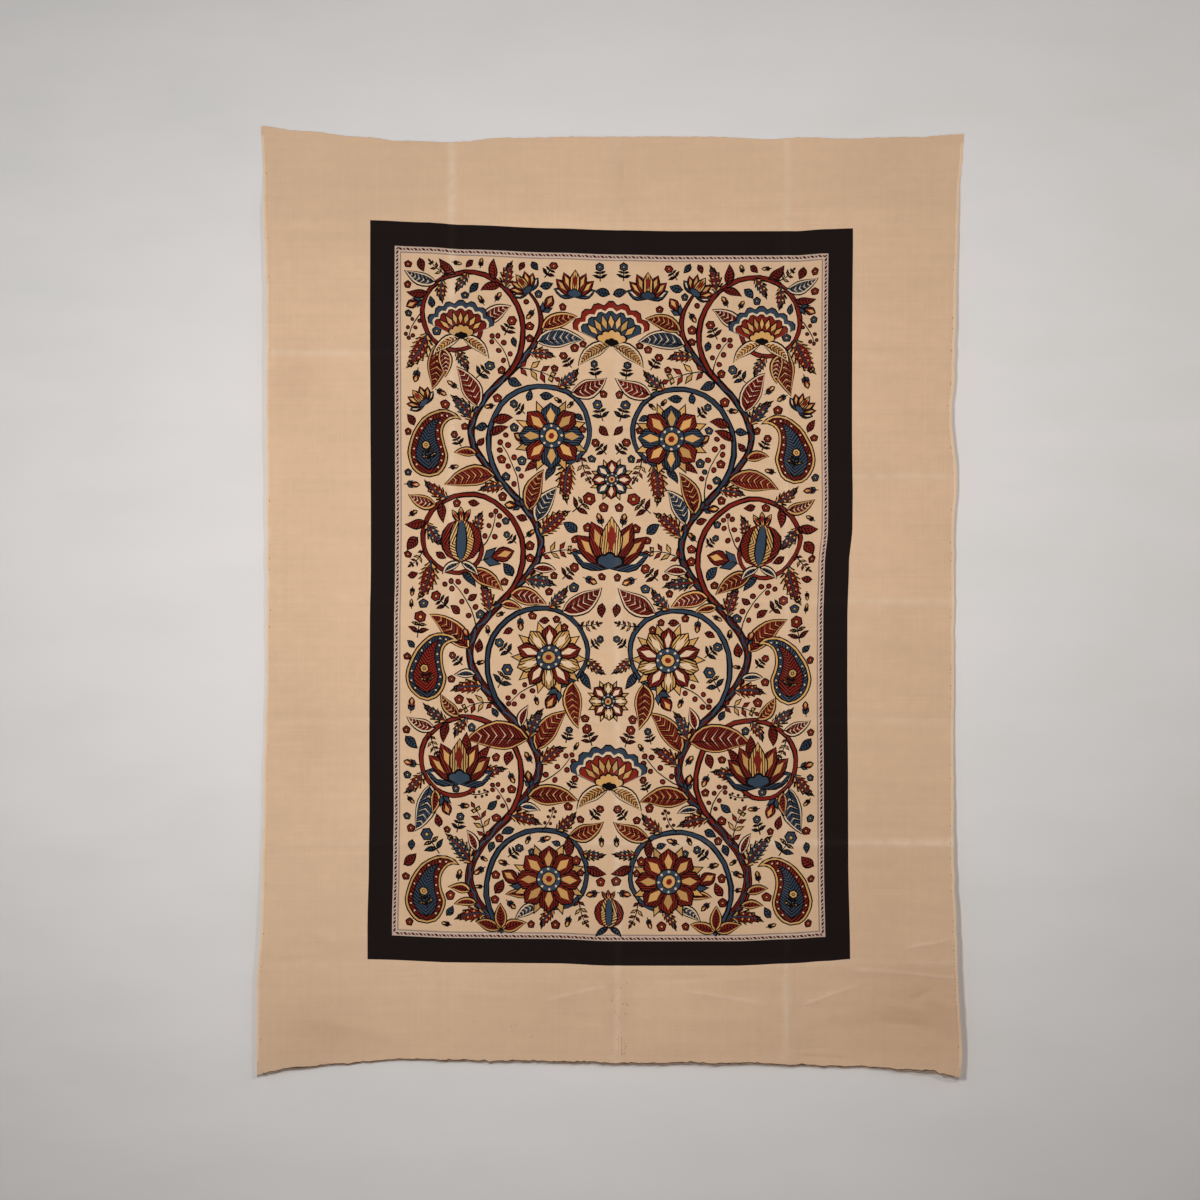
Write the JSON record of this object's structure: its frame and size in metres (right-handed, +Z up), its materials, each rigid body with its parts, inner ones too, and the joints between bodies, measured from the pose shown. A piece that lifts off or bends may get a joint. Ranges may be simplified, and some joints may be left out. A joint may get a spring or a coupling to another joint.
{
  "type": "kalamkari panel, a printed cotton wall hanging",
  "caption": "Tall sheet of printed cotton hung flat by its top edge, with plain tan margins, a black printed frame and a floral field.",
  "frame": {"origin": "middle of the top edge, on the back of the cloth where it lies on the wall", "axes": "+Z up along the cut length, +X across the loom width, -Y out of the printed face"},
  "size_m": [1.1315, 0.021, 1.52],
  "materials": {
    "printed_cotton": "matt plain-weave cotton, tan ground with black, madder red, indigo and ochre print"
  },
  "bodies": {
    "root": {"panel_cloth": "printed_cotton"}
  },
  "joints": []
}
